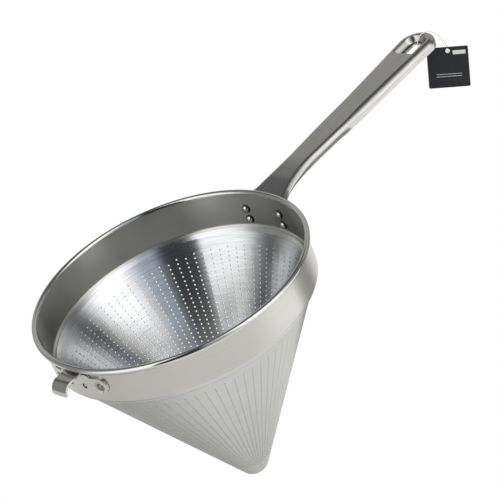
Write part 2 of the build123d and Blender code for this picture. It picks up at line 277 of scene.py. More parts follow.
# Points on a circle's arc, the angles in degrees.
def arcPoints(centre, radius, start, end, steps):
    angles = np.radians(np.linspace(start, end, steps + 1))
    return np.stack([centre[0] + radius * np.cos(angles), centre[1] + radius * np.sin(angles)], -1)


# Unit normals on the left of an open path.
def leftNormals(path):
    along = np.gradient(path, axis=0)
    along /= np.linalg.norm(along, axis=1)[:, None]
    return np.stack([-along[:, 1], along[:, 0]], -1)


# A closed outline round an open path: both sides at half the thickness, and round ends.
def thickLoop(path, thickness):
    normals = leftNormals(path)
    turn = np.radians(np.linspace(90, -90, 7)[1:-1])[:, None]
    back = normals[:, ::-1] * np.array([1, -1])  # along the path
    half = thickness / 2
    far = path[-1] + half * (np.sin(turn) * normals[-1] + np.cos(turn) * back[-1])
    near = path[0] + half * (-np.sin(turn) * normals[0] - np.cos(turn) * back[0])
    return np.concatenate([path + normals * half, far, (path - normals * half)[::-1], near])


# Distance along a closed loop to each of its points, and once round.
def arcLengths(loop):
    steps = np.linalg.norm(np.roll(loop, -1, axis=0) - loop, axis=1)
    return np.concatenate([[0], np.cumsum(steps)])


# Places at a radius, an angle and a height: x and y are the radius times the angle's cosine and sine.
def spun(radius, angle, height):
    return np.stack(np.broadcast_arrays(radius * np.cos(angle), radius * np.sin(angle), height), -1)


# Triangles from the first and the last row of a tube to the two points that follow its own.
def endFans(rows, steps, way):
    here = np.arange(steps)
    pair = np.stack([np.roll(here, -1), here], -1)
    fans = [pair[:, ::way], pair[:, ::-way] + (rows - 1) * steps]
    return [row for k, fan in enumerate(fans) for row in np.insert(fan, 2, rows * steps + k, 1).tolist()]


# A closed outline in (radius, height) turned round the axis, with u along the turn and v along
# the outline.
def spunLoop(loop, steps):
    points = spun(loop[:, 0:1], np.linspace(0, 2 * np.pi, steps, endpoint=False)[None, :], loop[:, 1:2])
    faces, places = gridFaces(len(loop), steps, True, True)
    lengths = arcLengths(loop)
    uv = np.stack([places[:, 1] / steps * 2 * np.pi * loop[:, 0].mean(), lengths[places[:, 0]]], -1)
    return points.reshape(-1, 3), faces, uv


# Steel finishes. line is the brush lines' width and length, and cloud the size of the uneven patches, in mm.

steelValues = {
    # 18-8 stainless sheet, pressed and belt-brushed round the axis: a warm grey satin
    "satinStainlessPressed": {
        "light": "#c5c4bf", "dark": "#bebdb8", "roughness": (0.27, 0.31), "line": (0.7, 60), "cloud": 60,
        "bump": 0.05, "anisotropic": 0.5,
    },
    # the same sheet where the rolls that curled it have burnished it, nearly a mirror
    "brightStainlessRolled": {
        "light": "#cfcfcc", "dark": "#c0c0bd", "roughness": (0.07, 0.12), "line": (0.8, 60), "cloud": 60,
        "bump": 0.05,
    },
    # the same sheet, spun to a cone and left satin outside, with painted shade that darkens it towards the
    # tip
    "satinStainlessPunched": {
        "light": "#c6c6c2", "dark": "#b6b6b2", "roughness": (0.30, 0.36), "line": (0.7, 40), "cloud": 40,
        "bump": 0.12, "anisotropic": 0.5, "paintedShadingByHeight": (-70, -215, 0.76),
    },
    # burnished by the spinning tool, so it mirrors light and dark in sectors, with painted light that
    # brightens it further down
    "brightStainlessSpun": {
        "light": "#d9dadb", "dark": "#bcbdbf", "roughness": (0.16, 0.24), "line": (1.3, 30), "cloud": 25,
        "bump": 0.3, "anisotropic": 0.75, "paintedShadingByHeight": (-88, -122, 1.3),
    },
    # torn by the punch, so rough, and it scatters light beside the polished faces
    "punchedStainlessEdge": {
        "light": "#d2d2d3", "dark": "#b4b4b6", "roughness": (0.45, 0.6), "line": (0.6, 0.6), "cloud": 2,
        "bump": 0.3, "coords": "Object",
    },
    # the joint under the lip: painted shade, a dark line where the lip overhangs the cone
    "seamPaintedShade": {
        "light": "#6a6a67", "dark": "#4c4c4a", "roughness": (0.4, 0.5), "line": (0.5, 20), "cloud": 20,
        "bump": 0.1,
    },
    # thick sheet, pressed and brushed along its length: long streaks in a soft mirror
    "satinStainlessHandle": {
        "light": "#c3c2be", "dark": "#a9a8a4", "roughness": (0.17, 0.22), "line": (0.7, 45), "cloud": 50,
        "bump": 0.3,
    },
    # sheared sheet, bent and then tumbled, with darker rings round its press marks
    "satinStainlessHook": {
        "light": "#c9c8c4", "dark": "#b5b4b0", "roughness": (0.14, 0.2), "line": (0.7, 12), "cloud": 12,
        "bump": 0.12, "coords": "Object", "marks": ((122.35, 8.57, 19.8), 2.2, "#545351"),
    },
    # cold-headed wire, tumbled bright
    "brightStainlessRivet": {
        "light": "#cfcfcd", "dark": "#bcbcba", "roughness": (0.1, 0.14), "line": (0.8, 3), "cloud": 5,
        "bump": 0.08,
    },
    # the same wire, set by a riveting tool, with a duller gloss and painted shade: a darker grey than the
    # bright rivets, for the dark the dished heads show
    "satinRivetPaintedShade": {
        "light": "#8a8985", "dark": "#706f6c", "roughness": (0.24, 0.32), "line": (0.8, 3), "cloud": 3,
        "bump": 0.15, "coords": "Object",
    },
    # round the foot of a head: painted shadow and dark reflection, a dark ring where the dome meets the sheet
    "rivetEdgePaintedShade": {
        "light": "#4c4c4b", "dark": "#2c2c2c", "roughness": (0.4, 0.5), "line": (0.5, 0.5), "cloud": 3,
        "bump": 0.2, "coords": "Object",
    },
}
steels = {name: steelMaterial(name, values) for name, values in steelValues.items()}
print("steel finishes made:", len(steels))


# Collar and wired rim

collarValues = {
    "mouth": 120.0,
    "sheet": 1.0,
    "beadRadius": 2.65,
    "curlFrom": -110,  # degrees round the bead, from straight out
    "curlSteps": 40,
    "bendDepth": 35.6,
    "lip": (-4.6, -5.4),
    "bend": 3.0,
    "clear": 0.6,  # how far outside the wall's middle the bright finish starts, in sheets
    "steps": 360,
}


# A pressed sheet, as a closed outline turned round the axis: the curl, the wall and the lip.
def makeCollar(values):
    centre = (values["mouth"] + values["beadRadius"], -values["beadRadius"])
    wall = values["mouth"] + values["sheet"] / 2
    corner = np.array([wall, -values["bendDepth"]])
    middle = values["beadRadius"] - values["sheet"] / 2
    curl = arcPoints(centre, middle, values["curlFrom"], 180, values["curlSteps"])
    lip = corner + np.array(values["lip"])
    lower = roundedPath([corner + (0, 3 * values["bend"]), corner, lip], [values["bend"]])
    loop = thickLoop(np.concatenate([curl, lower]), values["sheet"])
    points, faces, uv = spunLoop(loop, values["steps"])
    uv = uv.reshape(-1, 4, 2)[:, ::-1].reshape(-1, 2)
    # rows of the outline that form the bead: above the curl's foot, and clear of the wall or near the top
    clear = wall + values["clear"] * values["sheet"]
    bead = loop[:, 1] > -2 * values["beadRadius"] - values["sheet"]
    bead &= (loop[:, 0] > clear) | (loop[:, 1] > -values["beadRadius"])
    slots = np.repeat(bead & np.roll(bead, -1), values["steps"]).astype(int)
    finishes = [steels["satinStainlessPressed"], steels["brightStainlessRolled"]]
    faces = faces[:, ::-1]
    collar = makePiece("collarSheet", points, faces, "strainer", finishes, uv, slots)
    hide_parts("collar", "rim_wire")


makeCollar(collarValues)
print("collar made")


# Perforated cone

coneValues = {
    "sheet": 0.9,
    "seat": (115.48, -40.64),  # where the outside of the wall meets the collar's lip
    "angle": 30.093,
    "flange": (4.0, 3.0),  # its width along the lip and the bend into the wall
    "seam": 0.75,  # width of the painted shade line along the collar's lip
    "bendSteps": 4,
    "tipRadius": 15.0,
    "tipCentre": -210.0,
    "tipSteps": 16,
    "holeRadius": 0.77,  # of eight sides, so a little over the real 0.75
    "taper": (0.8, 1.16),  # drifted from inside, so a hole is narrower outside and wider inside
    "columns": 80,
    "startAngle": 0.95,
    "rows": 42,
    "pitch": 4.2,
    "firstDepth": 51.1,
    "around": 70.0,  # mm of u to a radian, about the cone's mean radius
}


# The middle of the wall where it meets the collar's lip, its direction down the wall, and the way out of it.
def coneLine(values):
    angle = math.radians(values["angle"])
    down = np.array([-math.sin(angle), -math.cos(angle)])
    inward = np.array([-math.cos(angle), math.sin(angle)])
    seat = np.array(values["seat"]) + inward * values["sheet"] / 2
    return seat, down, -inward


# The wall is a lattice of columns and half rows; each cell has an eight-sided hole, and columns
# of two kinds, half a row apart, alternate. Both skins are the lattice moved half a sheet.
def makeCone(values):
    seat, down, outward = coneLine(values)
    columns, rows, pitch = values["columns"], values["rows"], values["pitch"]
    half = values["sheet"] / 2
    turn = 2 * np.pi / columns
    start = math.radians(values["startAngle"]) - turn / 2
    first = (seat[1] + values["firstDepth"]) / -down[1]  # along the wall
    lines = 2 * rows + 2
    places, swells, quads = [], [], []

    def addPlaces(angle, along, turned=0.0, moved=0.0):
        angle, along, turned, moved = np.broadcast_arrays(angle, along, turned, moved)
        before = sum(map(len, places))
        places.append(np.stack([(angle + turned).ravel(), (along + moved).ravel()], -1))
        swells.append(np.stack([turned.ravel(), moved.ravel()], -1))
        return before + np.arange(angle.size).reshape(angle.shape)

    column = np.arange(columns)[:, None]
    level = first + (np.arange(lines)[None, :] - 1) * pitch / 2
    edges = addPlaces(start + column * turn, level)
    middles = addPlaces(start + (column + 0.5) * turn, level)
    eighths = np.radians(np.arange(8) * 45.0)
    radiusAt = seat[0] + down[0] * level
    for kind in (0, 1):
        own = np.arange(1 - kind, columns, 2)[:, None]  # odd columns start first
        cell = np.arange(rows)[None, :]
        top = 2 * cell + kind
        centreAngle = start + (own + 0.5) * turn + 0 * cell
        centreLevel = level[0][top + 1] + 0 * own
        radius = radiusAt[0][top + 1]
        turned = values["holeRadius"] * np.sin(eighths) / radius[..., None]
        moved = -values["holeRadius"] * np.cos(eighths)
        rim = addPlaces(centreAngle[..., None], centreLevel[..., None], turned, moved)
        right = (own + 1) % columns
        onRight = [edges[right, top + step] for step in (0, 1, 2)]
        onLeft = [edges[own, top + step] for step in (2, 1, 0)]
        corners = [middles[own, top], *onRight, middles[own, top + 2], *onLeft]
        around = np.stack(np.broadcast_arrays(*corners), -1)
        nextRim, nextAround = np.roll(rim, -1, -1), np.roll(around, -1, -1)
        quads.append(("sheet", np.stack([around, rim, nextRim, nextAround], -1).reshape(-1, 4)))
        quads.append(("hole", np.stack([rim, nextRim], -1).reshape(-1, 2)))
        # the half cell that is left over at one end of the column
        end = (lines - 2, 0)[kind]
        here, there = own[:, 0], right[:, 0]
        halves = [
            [edges[here, end], edges[here, end + 1], middles[here, end + 1], middles[here, end]],
            [middles[here, end], middles[here, end + 1], edges[there, end + 1], edges[there, end]],
        ]
        quads.append(("sheet", np.stack(halves).transpose(0, 2, 1).reshape(-1, 4)))
    places, swells = np.concatenate(places), np.concatenate(swells)
    sides = [places + swells * (share - 1) for share in values["taper"]]
    skins = [seat + down * side[:, 1:2] + outward * out for side, out in zip(sides, (half, -half))]
    count = len(places)

    # rings above and below the lattice, of one point for each column edge and middle
    ringAngle = start + np.arange(2 * columns) * turn / 2
    flangeDown = np.array(collarValues["lip"]) / math.hypot(*collarValues["lip"])
    width, bend = values["flange"]
    flangeOut = np.array([-flangeDown[1], flangeDown[0]])
    onFlange = np.array(values["seat"]) - flangeOut * half
    across = onFlange - seat
    corner = seat + down * (np.cross(across, flangeDown) / np.cross(down, flangeDown))
    top = seat + down * level[0, 0]
    above = roundedPath([corner - flangeDown * width, corner, top], [bend], values["bendSteps"])
    above = np.insert(above, -1, seat + down * values["seam"], 0)
    tip = np.array([0, values["tipCentre"]])
    middle = values["tipRadius"] - half
    arc = arcPoints(tip, middle, -values["angle"], -90, values["tipSteps"])
    below = np.concatenate([(seat + down * level[0, -1])[None], arc])
    belowNormals = (below - tip) / np.linalg.norm(below - tip, axis=1)[:, None]
    rings, ringNormals = [above[:-1], below[1:-1]], [leftNormals(above)[:-1], belowNormals[1:-1]]

    points = [spun(skin[:, 0], side[:, 0], skin[:, 1]) for skin, side in zip(skins, sides)]
    along = [places[:, 1], places[:, 1]]
    angles = [places[:, 0], places[:, 0]]
    base = 2 * count
    ringIndex, poles = [], []
    upLengths, downLengths = (np.linalg.norm(np.diff(path, axis=0), axis=1) for path in (above[::-1], below))
    lengths = (level[0, 0] - np.cumsum(upLengths)[::-1], level[0, -1] + np.cumsum(downLengths)[:-1])
    for side in (1, -1):
        index = []
        for ring, normal, length in zip(rings, ringNormals, lengths):
            profile = np.repeat(ring + normal * half * side, 2 * columns, 0)
            angles.append(np.tile(ringAngle, len(ring)))
            points.append(spun(profile[:, 0], angles[-1], profile[:, 1]))
            along.append(np.repeat(length, 2 * columns))
            index.append(base + np.arange(len(profile)).reshape(len(ring), 2 * columns))
            base += len(profile)
        ringIndex.append(index)
    for side in (1, -1):
        points.append(np.array([[0, 0, tip[1] - middle - half * side]]))
        angles.append(np.zeros(1))
        along.append(np.array([lengths[1][-1] + 1]))
        poles.append(base)
        base += 1
    points, angles, along = np.concatenate(points), np.concatenate(angles), np.concatenate(along)

    firstRing = np.stack([edges[:, 0], middles[:, 0]], -1).ravel()
    lastRing = np.stack([edges[:, -1], middles[:, -1]], -1).ravel()
    faces, slots = [], []

    def addFaces(part, slot):
        faces.append(part)
        slots.append(np.full(len(part), slot))

    def band(ringA, ringB):
        return np.stack([ringA, ringB, np.roll(ringB, -1), np.roll(ringA, -1)], -1)

    for kind, part in quads:
        if kind == "sheet":
            addFaces(part, 0)
            addFaces(part[:, ::-1] + count, 1)
        else:
            addFaces(np.concatenate([part[:, ::-1], part + count], 1), 2)
    for skin in (0, 1):
        upper, lower = list(ringIndex[skin][0]), ringIndex[skin][1]
        way = 1 - 2 * skin
        for part in ([*upper, firstRing + skin * count], [lastRing + skin * count, *lower]):
            for ringA, ringB in zip(part, part[1:]):
                # the band just under the lip takes the painted shade line
                inSeam = skin == 0 and ringB is upper[-1]
                addFaces(band(ringA, ringB)[:, ::way], 3 if inSeam else skin)
        fan = np.stack([lower[-1], np.full(2 * columns, poles[skin]), np.roll(lower[-1], -1)], -1)
        addFaces(fan[:, ::way], skin)
    addFaces(band(ringIndex[1][0][0], ringIndex[0][0][0]), 0)  # the flange's edge

    used, compact = np.unique(np.concatenate([f.ravel() for f in faces]), return_inverse=True)
    allFaces, at = [], 0
    for part in faces:
        allFaces += compact[at : at + part.size].reshape(part.shape).tolist()
        at += part.size
    angle, along = angles[used][compact], along[used][compact]
    uv = np.stack([np.mod(angle - start, 2 * np.pi) * values["around"], along], -1)
    names = ("satinStainlessPunched", "brightStainlessSpun", "punchedStainlessEdge", "seamPaintedShade")
    points, finishes, slots = points[used], [steels[name] for name in names], np.concatenate(slots)
    cone = makePiece("perforatedCone", points, allFaces, "strainer", finishes, uv, slots)
    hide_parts("perforated_cone")
    return sum(len(f) - 2 for f in allFaces)


print("perforated cone made:", makeCone(coneValues), "triangles")


# Rivets, each turned round its own axis, which points outwards from the axis of the cone


# A profile in (radius, height) that starts and ends on its axis, turned round it.
def spunProfile(profile, steps):
    ring = profile[1:-1]
    points = spun(ring[:, 0:1], np.linspace(0, 2 * np.pi, steps, endpoint=False)[None, :], ring[:, 1:2])
    points = np.concatenate([points.reshape(-1, 3), [[0, 0, profile[0, 1]], [0, 0, profile[-1, 1]]]])
    faces, _ = gridFaces(len(ring), steps, False, True)
    return points, faces.tolist() + endFans(len(ring), steps, 1)


# Turns points whose height is the distance from the cone's axis to an angle and a depth.
def placeRadially(points, angle, depth):
    turned = points[:, [2, 0, 1]] @ np.array(Matrix.Rotation(-math.radians(angle), 3, "Z"))
    return turned + np.array([0, 0, -depth])


rivetValues = {
    "handle_rivet_left_upper": (10.0, 18.4),
    "handle_rivet_left_lower": (10.0, 29.6),
    "handle_rivet_right_upper": (-10.0, 18.4),
    "handle_rivet_right_lower": (-10.0, 29.6),
}
hookRivetValues = {"hook_rivet_left": (168.1, 19.8), "hook_rivet_right": (191.9, 19.8)}
# way is 1 where the dome is inside the collar and -1 where it is outside, outside is the radius of the face
# that the outer heads lie on, and the bands entry gives the faces round the head's edge that take a painted
# shade ring
rivetShape = {
    "shank": 2.0, "head": 4.3, "dome": 3.2, "tail": 3.6, "tailHeight": 1.2, "way": 1, "outside": 122.9,
    "dull": (8, 12), "steel": "brightStainlessRivet",
}
hookRivetShape = {
    "shank": 1.6, "head": 3.5, "dome": 1.4, "tail": 2.8, "tailHeight": 0.7, "way": -1, "outside": 122.2,
    "dull": (6, 8), "steel": "satinRivetPaintedShade",
}


# A domed head, a shank and a flat tail with a rounded edge, as half an outline.
def rivetProfile(values):
    inner = math.sqrt(collarValues["mouth"] ** 2 - max(values["head"], values["tail"]) ** 2)
    outer = values["outside"]
    domeAt, flatAt = (inner, outer) if values["way"] > 0 else (outer, inner)
    way = values["way"]
    head, dome = values["head"], values["dome"]
    ball = (head**2 + dome**2) / (2 * dome)
    centre = domeAt - way * (dome - ball)
    edge = math.degrees(math.asin(head / ball))
    angles = np.radians(np.linspace(0, edge, 14))
    cap = np.stack([ball * np.sin(angles), centre - way * ball * np.cos(angles)], -1)
    shank = np.array([[values["shank"], domeAt], [values["shank"], flatAt]])
    soft = values["tailHeight"] * 0.4
    tail, top = values["tail"], flatAt + way * values["tailHeight"]
    rim = np.array([[tail, flatAt], [tail, top - way * soft], [tail - soft * 0.3, top - way * soft * 0.3]])
    face = np.array([[tail - soft, top], [tail * 0.5, top], [0, top]])
    profile = np.concatenate([cap, shank, rim, face])
    return profile if way > 0 else profile[::-1]


def makeRivets(places, shape, steps=40):
    profile = rivetProfile(shape)
    start, end = shape["dull"]
    finishes = [steels[shape["steel"]], steels["rivetEdgePaintedShade"]]
    for node, (angle, depth) in places.items():
        points, faces = spunProfile(profile, steps)
        points = placeRadially(points, angle, depth)
        # the bands round the head's edge take the painted shade ring
        slots = np.zeros(len(faces), int)
        slots[start * steps : end * steps] = 1
        name = "".join(word.capitalize() if k else word for k, word in enumerate(node.split("_")))
        rivet = makePiece(name, points, faces, "strainer", finishes, None, slots)
        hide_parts(node)


makeRivets(rivetValues, rivetShape)
makeRivets(hookRivetValues, hookRivetShape)
print("rivets made")


# Handle, a pressed channel with rolled shoulders, a dished recess and a slot, and its plate on the collar

handleValues = {
    "sheet": 1.8,
    "collar": 121.0,
    "buried": 122.0,  # the channel starts inside the plate
    "plate": (121.05, 122.85, 29.0, -8.6, -34.4, 8.0),  # radii, half width, top, bottom, corner
    "rootHalf": 31.0,
    "neckHalf": 13.5,
    "neckAt": 175.0,
    "endHalf": 20.0,
    "reach": 384.8,
    "flare": [(0.03, 1.0), (0.12, 0.65), (0.28, 0.35), (0.56, 0.16)],  # shares of the way to the neck
    # lines of the flat and of the walls' lower edge, as (x, z), and the radii of their bends
    "top": [(100, -13.566), (150, -3.847), (172, -1.379), (400, 9.054)],
    "bends": (90.0, 250.0),
    "low": [(100, -17.0), (141, -11.0), (175, -12.0), (268, -6.2), (400, 0.054)],
    "lowBends": (40.0, 40.0, 300.0),
    "shoulder": (4.2, 6.2, 5.6),  # roll along the neck, along the grip, round the end
    "fullest": 0.98,  # the largest share of a wall's height that its roll takes
    "shoulderAt": ((220, 275), (322, 345)),  # from where to where it changes
    "tuck": 31.0,  # degrees that the walls turn in below the roll, along the neck
    "tuckAt": ((130, 152), (205, 255)),  # where that begins and ends
    "rise": 2.62,  # degrees that the grip rises, which the dish is pressed square to
    "recess": (345.2, 377.2, 12.4, 3.0, 12.15, 5.4),  # ends, half width, corners at each end, depth
    "stations": (142, 343),  # where the fine rows of the root end, and where those of the dish start
    "recessEdge": (-0.7, 4.9),  # from the outline inwards, where the dish starts and where it is flat
    "slot": (352.16, 369.64, 4.4, 1.6),  # ends, half width, corner
    "flatHalf": 14.0,  # half width of the flat beside the slot
    "slotRows": (8, 3, 2, 6),  # before and behind the slot, where the grid bends towards its edge
    "follow": 16,  # how far from the plate the channel's rows follow the collar
    "sharp": 40,  # degrees over which an edge stays sharp
}


# A smooth step from 0 at the start to 1 at the end.
def smoothStep(x, start, end):
    t = np.clip((np.asarray(x, float) - start) / (end - start), 0, 1)
    return t * t * (3 - 2 * t)


# Corner radii that take 0.45 of the shorter run beside each corner.
def bendRadii(points):
    runs = np.diff(points, axis=0)
    lengths = np.linalg.norm(runs, axis=1)
    cosine = (runs[:-1] * runs[1:]).sum(1) / (lengths[:-1] * lengths[1:])
    return 0.45 * np.minimum(lengths[:-1], lengths[1:]) / np.tan(np.arccos(cosine) / 2)


# Two skins over one grid, with the same gaps, as a closed shell: places that coincide are joined, and
# each open edge of the outer skin is joined to the inner one.
def shellFromGrid(outer, inner, keep, uv):
    rows, columns = outer.shape[:2]
    rounded = np.round(outer.reshape(-1, 3), 3)
    _, first, joined = np.unique(rounded, axis=0, return_index=True, return_inverse=True)
    quads, places = gridFaces(rows, columns, False, False)
    quads, places = quads[keep.ravel()], places.reshape(-1, 4, 2)[keep.ravel()]
    corners = joined.ravel()[quads]
    cornerUv = uv[places[..., 0], places[..., 1]]
    whole = corners != np.roll(corners, -1, 1)
    edges = np.stack([corners, np.roll(corners, -1, 1)], -1)[whole]
    _, inverse, counts = np.unique(np.sort(edges, 1), axis=0, return_inverse=True, return_counts=True)
    rim = edges[counts[inverse.ravel()] == 1]
    count = len(first)
    ribbon = np.stack([rim[:, 1], rim[:, 0], rim[:, 0] + count, rim[:, 1] + count], -1)
    faces, faceUvs = [ribbon], [uv.reshape(-1, 2)[first][ribbon % count]]
    for sides in (4, 3):
        chosen = whole.sum(1) == sides
        part = corners[chosen][whole[chosen]].reshape(-1, sides)
        partUv = cornerUv[chosen][whole[chosen]].reshape(-1, sides, 2)
        faces += [part, part[:, ::-1] + count]
        faceUvs += [partUv, partUv[:, ::-1]]
    points = np.concatenate([outer.reshape(-1, 3)[first], inner.reshape(-1, 3)[first]])
    return points, faces, faceUvs


# The channel is a grid: one row for each station along the outline, from the left wall's lower edge up
# round the shoulder, across the flat and down the right side. The dish lowers the flat by a smooth step of
# the distance inside its outline, and the slot leaves cells out, its corners drawn in to arcs.
def channelSkins(values):
    extra = values["rootHalf"] - values["neckHalf"]
    run = values["neckAt"] - values["collar"]
    centre = values["reach"] - values["endHalf"]
    side = [(values["collar"] - 5, values["rootHalf"])]
    side += [(values["collar"] + run * a, values["neckHalf"] + extra * b) for a, b in values["flare"]]
    side = np.array(side + [(values["neckAt"], values["neckHalf"]), (centre, values["endHalf"])])
    edge = roundedPath(side, bendRadii(side), 16)
    edgeNormals = leftNormals(edge)
    slotStart, slotEnd, slotHalf, slotCorner = values["slot"]
    rootEnd, dishStart = values["stations"]
    root, grip = np.arange(values["buried"], rootEnd, 0.8), np.arange(rootEnd, dishStart, 2.5)
    dished = np.linspace(dishStart, slotStart, 18, endpoint=False)
    stations = np.concatenate([root, grip, dished, np.linspace(slotStart, centre, 28)])
    along = np.linspace(0, 1, 1200)
    dense = np.interp(along, np.linspace(0, 1, len(edge)), edge[:, 0])
    roll, rollMid, rollEnd = values["shoulder"]
    toGrip, toEnd = values["shoulderAt"]
    tuckIn, tuckOut = values["tuckAt"]
    top = roundedPath(values["top"], values["bends"], 20)
    low = roundedPath(values["low"], values["lowBends"], 10)

    def heights(x):
        return np.interp(x, top[:, 0], top[:, 1]), np.interp(x, low[:, 0], low[:, 1])

    def sizes(x):
        high, under = heights(x)
        tuck = np.radians(values["tuck"]) * smoothStep(x, *tuckIn) * (1 - smoothStep(x, *tuckOut))
        wanted = roll + (rollMid - roll) * smoothStep(x, *toGrip)
        wanted = wanted + (rollEnd - rollMid) * smoothStep(x, *toEnd)
        return np.minimum(wanted, values["fullest"] * (high - under) / (1 + np.sin(tuck))), tuck, high - under

    denseY = np.interp(dense, edge[:, 0], edge[:, 1])
    denseN = np.stack([np.interp(dense, edge[:, 0], edgeNormals[:, k]) for k in (0, 1)], -1)
    denseFlat = dense - sizes(dense)[0] * denseN[:, 0]  # x of the flat's edge
    place = np.interp(stations, denseFlat, dense)
    outline = np.stack([place, np.interp(place, dense, denseY)], -1)
    normals = np.stack([np.interp(place, dense, denseN[:, k]) for k in (0, 1)], -1)
    normals /= np.linalg.norm(normals, axis=1)[:, None]
    slotTurn = math.acos((slotEnd - centre) / (values["endHalf"] - rollEnd))
    turn = np.concatenate([np.linspace(np.pi / 2, slotTurn, 10)[1:], np.linspace(slotTurn, 0, 30)[1:]])
    arc = np.stack([np.cos(turn), np.sin(turn)], -1)
    outline = np.concatenate([outline, (centre, 0) + values["endHalf"] * arc])
    normals = np.concatenate([normals, arc])
    radius, tuck, depth = sizes(outline[:, 0])
    flatEdge = outline - radius[:, None] * normals

    share = slotHalf / values["flatHalf"]
    fractions = np.concatenate([np.linspace(0, share, 9), np.linspace(share, 1, 18)[1:]])
    bump = np.where(fractions < share, fractions / share, (1 - fractions) / (1 - share))
    # beside the slot, a column of the grid is drawn in to the slot's edge
    drawn, straight, again, free = values["slotRows"]
    near = smoothStep(flatEdge[:, 0], slotStart - drawn, slotStart - straight)
    near *= 1 - smoothStep(flatEdge[:, 0], slotEnd + again, slotEnd + free)
    half = flatEdge[:, 1:2] * fractions + near[:, None] * (slotHalf - share * flatEdge[:, 1:2]) * bump
    flatY = np.concatenate([half[:, ::-1], -half[:, 1:]], 1)

    def skin(inset):
        arc = np.linspace(0, 1, 13)[None, :] * (np.pi / 2 + tuck[:, None])
        small = (radius - inset)[:, None]
        out, drop = small * np.sin(arc), inset + small * (1 - np.cos(arc))
        left = (depth[:, None] - radius[:, None] * (1 + np.sin(tuck))[:, None]) / np.cos(tuck)[:, None]
        straight = left * np.array([[0.5, 1.0]])
        out = np.concatenate([out, out[:, -1:] - straight * np.sin(tuck)[:, None]], 1)
        drop = np.concatenate([drop, drop[:, -1:] + straight * np.cos(tuck)[:, None]], 1)
        walls = []
        for mirror in (1, -1):
            x = flatEdge[:, 0:1] + out * normals[:, 0:1]
            y = (flatEdge[:, 1:2] + out * normals[:, 1:2]) * mirror
            walls.append(np.stack([x, y, -drop], -1))
        flat = np.stack([flatEdge[:, 0:1] + 0 * flatY, flatY, 0 * flatY - inset], -1)
        grid = np.concatenate([walls[0][:, :0:-1], flat, walls[1][:, 1:]], 1)
        first, last = walls[0].shape[1] - 1, walls[0].shape[1] - 1 + flatY.shape[1]
        # slot corners: points of the slot's edge near a corner go to its arc
        x, y = grid[:, first:last, 0].copy(), grid[:, first:last, 1].copy()
        middle, reachX = (slotStart + slotEnd) / 2, (slotEnd - slotStart) / 2
        fromEnd, fromSide = reachX - np.abs(x - middle), slotHalf - np.abs(y)
        onEnd = (np.abs(fromEnd) < 0.02) & (fromSide > -0.02) & (fromSide < slotCorner)
        onSide = (np.abs(fromSide) < 0.02) & (fromEnd > -0.02) & (fromEnd < slotCorner)
        angle = np.radians(45) * (1 - np.clip(np.where(onEnd, fromSide, fromEnd) / slotCorner, 0, 1))
        cut = slotCorner * (1 - np.stack([np.sin(angle), np.cos(angle)], -1))
        newEnd, newSide = np.where(onEnd, cut[..., 1], cut[..., 0]), np.where(onEnd, cut[..., 0], cut[..., 1])
        moved = onEnd | onSide
        x = np.where(moved, middle + np.sign(x - middle) * (reachX - newEnd), x)
        y = np.where(moved, np.sign(y) * (slotHalf - newSide), y)
        grid[:, first:last, 0], grid[:, first:last, 1] = x, y
        # the dish: its depth times a smooth step of the distance inside a rectangle with rounded corners
        start, end, width, cornerIn, cornerOut, dish = values["recess"]
        dx = x - (start + end) / 2
        corner = np.where(dx > 0, cornerOut, cornerIn)
        ax, ay = np.abs(dx) - (end - start) / 2 + corner, np.abs(y) - width + corner
        inside = corner - np.hypot(np.maximum(ax, 0), np.maximum(ay, 0)) - np.minimum(np.maximum(ax, ay), 0)
        down = dish * smoothStep(inside, *values["recessEdge"])
        rise = math.radians(values["rise"])
        grid[:, first:last, 0] += down * math.sin(rise)
        grid[:, first:last, 2] -= down * math.cos(rise)
        # the first rows follow the collar
        reachIn = np.sqrt(values["buried"] ** 2 - grid[..., 1] ** 2) - values["buried"]
        near = 1 - smoothStep(grid[..., 0], values["buried"], values["buried"] + values["follow"])
        grid[..., 0] += reachIn * near
        grid[..., 2] += heights(grid[..., 0])[0]
        return grid, (first, last)

    outer, (first, last) = skin(0.0)
    inner, _ = skin(values["sheet"])
    keep = np.ones((outer.shape[0] - 1, outer.shape[1] - 1), bool)
    rowX = (flatEdge[1:, 0] + flatEdge[:-1, 0]) / 2
    columnY = np.full(outer.shape[1] - 1, np.inf)
    widest = np.argmax(flatEdge[:, 1] * (np.abs(flatEdge[:, 0] - slotStart) < 1))
    columnY[first : last - 1] = (flatY[widest, 1:] + flatY[widest, :-1]) / 2
    keep[np.ix_((rowX > slotStart) & (rowX < slotEnd), np.abs(columnY) < slotHalf)] = False
    steps = np.linalg.norm(np.diff(outer, axis=1), axis=2)
    across = np.concatenate([0 * outer[:, :1, 0], np.cumsum(steps, 1)], 1)
    across -= across[:, -1:] / 2
    return outer, inner, keep, np.stack([outer[..., 0], across], -1)


# The plate is a sheet on the collar's cylinder, narrowed to its rounded lower corners.
def plateSkins(values):
    inside, outside, half, top, bottom, corner = values["plate"]
    turn = np.radians(np.arange(6, 91, 6))
    z = np.concatenate([np.linspace(top, bottom + corner, 14), bottom + corner * (1 - np.sin(turn))])[:, None]
    below = np.clip(bottom + corner - z, 0, corner)
    width = half - corner + np.sqrt(corner**2 - below**2)
    arc = np.linspace(1, -1, 41)[None, :] * width / outside
    keep, uv = np.ones((len(z) - 1, arc.shape[1] - 1), bool), np.stack([arc * outside, z + 0 * arc], -1)
    return spun(outside, arc, z), spun(inside, arc, z), keep, uv


